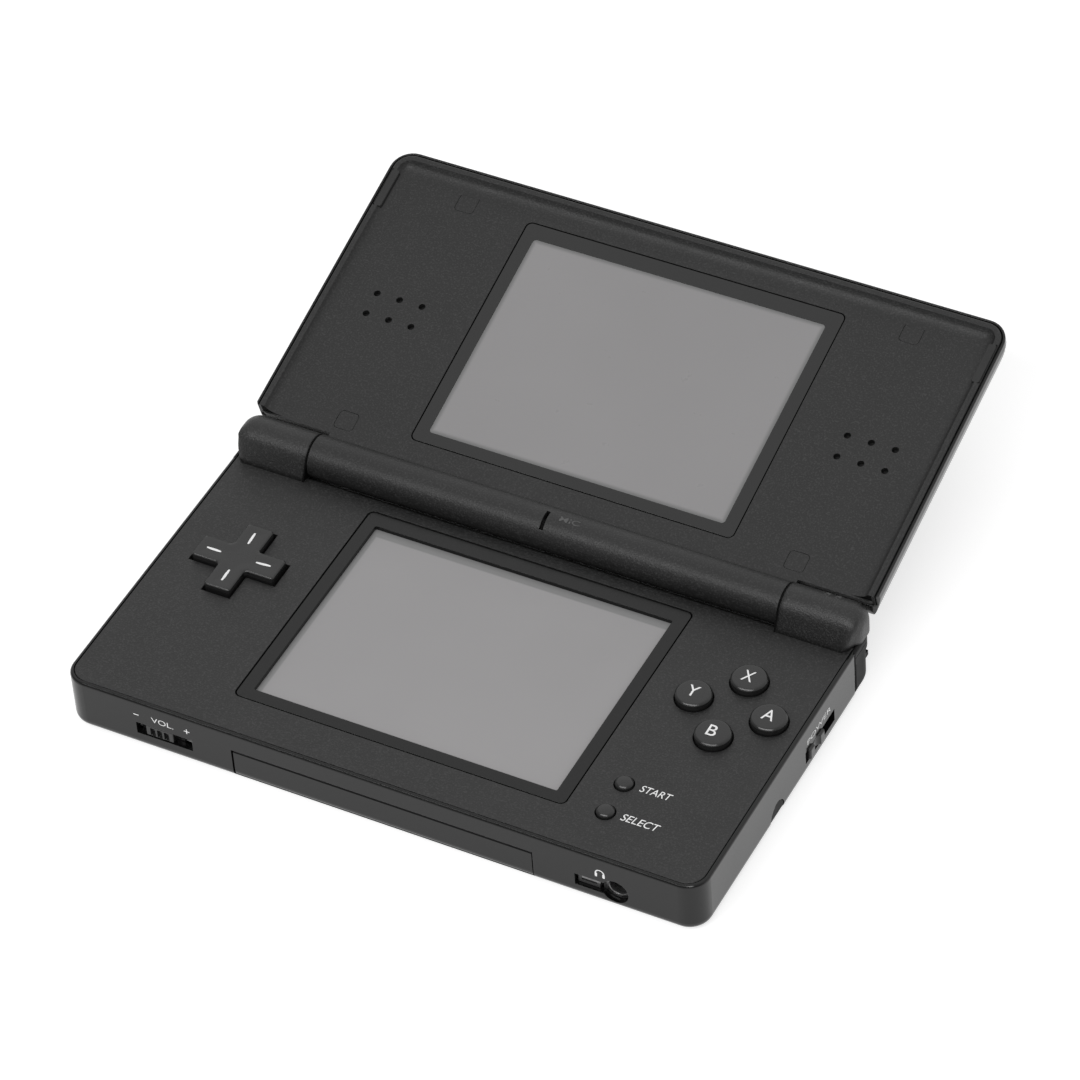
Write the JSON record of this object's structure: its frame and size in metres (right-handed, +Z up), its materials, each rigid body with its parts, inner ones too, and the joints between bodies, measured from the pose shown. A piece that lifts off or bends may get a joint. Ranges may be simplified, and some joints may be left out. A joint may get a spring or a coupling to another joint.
{
  "type": "clamshell handheld game console",
  "caption": "Black folding handheld console with a screen in each half, direction pad, round buttons, sliders, card slots and a stylus, shown open.",
  "frame": {"origin": "middle of the flat underside of the lower half", "axes": "+Z up, +X to the player's right, +Y back from the player toward the hinge"},
  "size_m": [0.1337, 0.1388, 0.0339],
  "materials": {
    "matte_black": "fine moulded grain",
    "gloss_black": "smooth and glossy",
    "control_black": "satin",
    "display_grey": "dull screen surface",
    "window_dark": "smooth and glossy",
    "display_module": "dull metal and plastic",
    "board_green": "solder mask",
    "board_blue": "solder mask",
    "shield_metal": "pressed sheet",
    "spring_metal": "drawn wire and turned pins",
    "battery_grey": "wrapped cell",
    "switch_white": "moulded",
    "connector_black": "moulded",
    "membrane_rubber": "silicone",
    "soft_rubber": "dull rubber",
    "speaker_metal": "dull",
    "gauze_black": "fine woven mesh",
    "ribbon_amber": "flexible film",
    "lens_smoke": "clear moulded"
  },
  "bodies": {
    "base": {"face_plate": "matte_black", "lower_case": "gloss_black", "battery_cover": "gloss_black", "battery_cover_screw": "spring_metal", "battery_pack": "battery_grey", "main_board": "board_green", "processor_shield": "shield_metal", "radio_board": "board_blue", "lower_display": "display_module", "touch_panel": "display_grey", "lower_bezel": "window_dark", "d_pad_membrane": "membrane_rubber", "button_membrane": "membrane_rubber", "start_select_membrane": "membrane_rubber", "power_switch": "switch_white", "volume_control": "switch_white", "headphone_jack": "connector_black", "headset_connector": "connector_black", "cartridge_slot": "shield_metal", "card_slot": "shield_metal", "shoulder_pins": "spring_metal", "shoulder_springs": "spring_metal", "shoulder_switches": "switch_white", "power_connector": "connector_black", "strap_post": "spring_metal", "hinge_cartridge": "spring_metal", "hinge_bush": "connector_black", "case_screws": "spring_metal", "screw_plugs": "soft_rubber", "indicator_lenses": "lens_smoke"},
    "lid": {"lid_frame": "matte_black", "lid_shell": "gloss_black", "upper_display": "display_grey", "upper_window": "window_dark", "speaker_left": "speaker_metal", "speaker_right": "speaker_metal", "speaker_gauze": "gauze_black", "screw_covers": "matte_black", "lid_screws": "spring_metal", "lid_bumpers": "soft_rubber", "microphone": "speaker_metal", "microphone_boot": "soft_rubber", "display_ribbon": "ribbon_amber"},
    "d_pad_pivot": {"d_pad_pivot": "switch_white"},
    "d_pad": {"d_pad": "control_black"},
    "button_a": {"button_a": "control_black"},
    "button_b": {"button_b": "control_black"},
    "button_x": {"button_x": "control_black"},
    "button_y": {"button_y": "control_black"},
    "start_button": {"start_button": "control_black"},
    "select_button": {"select_button": "control_black"},
    "power_slider": {"power_slider": "control_black"},
    "volume_slider": {"volume_slider": "control_black"},
    "slot_cover": {"slot_cover": "gloss_black"},
    "stylus": {"stylus": "control_black"},
    "shoulder_button_left": {"shoulder_button_left": "control_black"},
    "shoulder_button_right": {"shoulder_button_right": "control_black"}
  },
  "joints": [
    {"name": "lid_hinge", "type": "hinge", "parent": "base", "child": "lid", "pos_m": [0, 0.03325, 0.0141], "axis": [1, 0, 0], "range_deg": [0, 165]},
    {"name": "d_pad_rock_y", "type": "hinge", "parent": "base", "child": "d_pad_pivot", "pos_m": [-0.0508, 0.0031, 0.00935], "axis": [1, 0, 0], "range_deg": [-2.5, 2.5], "stiffness_Nm_per_rad": 0.24},
    {"name": "d_pad_rock_x", "type": "hinge", "parent": "d_pad_pivot", "child": "d_pad", "pos_m": [-0.0508, 0.0031, 0.00935], "axis": [0, 1, 0], "range_deg": [-2.5, 2.5], "stiffness_Nm_per_rad": 0.24, "deforming": ["d_pad_membrane"]},
    {"name": "button_a_press", "type": "slide", "parent": "base", "child": "button_a", "axis": [0, 0, -1], "range_m": [0, 0.0008], "stiffness_N_per_m": 1200, "deforming": ["button_membrane"]},
    {"name": "button_b_press", "type": "slide", "parent": "base", "child": "button_b", "axis": [0, 0, -1], "range_m": [0, 0.0008], "stiffness_N_per_m": 1200, "deforming": ["button_membrane"]},
    {"name": "button_x_press", "type": "slide", "parent": "base", "child": "button_x", "axis": [0, 0, -1], "range_m": [0, 0.0008], "stiffness_N_per_m": 1200, "deforming": ["button_membrane"]},
    {"name": "button_y_press", "type": "slide", "parent": "base", "child": "button_y", "axis": [0, 0, -1], "range_m": [0, 0.0008], "stiffness_N_per_m": 1200, "deforming": ["button_membrane"]},
    {"name": "start_press", "type": "slide", "parent": "base", "child": "start_button", "axis": [0, 0, -1], "range_m": [0, 0.0006], "stiffness_N_per_m": 1200, "deforming": ["start_select_membrane"]},
    {"name": "select_press", "type": "slide", "parent": "base", "child": "select_button", "axis": [0, 0, -1], "range_m": [0, 0.0006], "stiffness_N_per_m": 1200, "deforming": ["start_select_membrane"]},
    {"name": "power_slide", "type": "slide", "parent": "base", "child": "power_slider", "axis": [0, 1, 0], "range_m": [0, 0.003], "stiffness_N_per_m": 300},
    {"name": "volume_slide", "type": "slide", "parent": "base", "child": "volume_slider", "axis": [1, 0, 0], "range_m": [-0.0019, 0.0041]},
    {"name": "slot_cover_slide", "type": "slide", "parent": "base", "child": "slot_cover", "axis": [0, -1, 0], "range_m": [0, 0.022]},
    {"name": "stylus_slide", "type": "slide", "parent": "base", "child": "stylus", "axis": [1, 0, 0], "range_m": [0, 0.088]},
    {"name": "shoulder_left_press", "type": "hinge", "parent": "base", "child": "shoulder_button_left", "pos_m": [-0.055, 0.0334, 0.0047], "axis": [0, 0, 1], "range_deg": [0, 2.2], "stiffness_Nm_per_rad": 0.39, "deforming": ["shoulder_springs"]},
    {"name": "shoulder_right_press", "type": "hinge", "parent": "base", "child": "shoulder_button_right", "pos_m": [0.055, 0.0334, 0.0047], "axis": [0, 0, -1], "range_deg": [0, 2.2], "stiffness_Nm_per_rad": 0.39, "deforming": ["shoulder_springs"]}
  ]
}
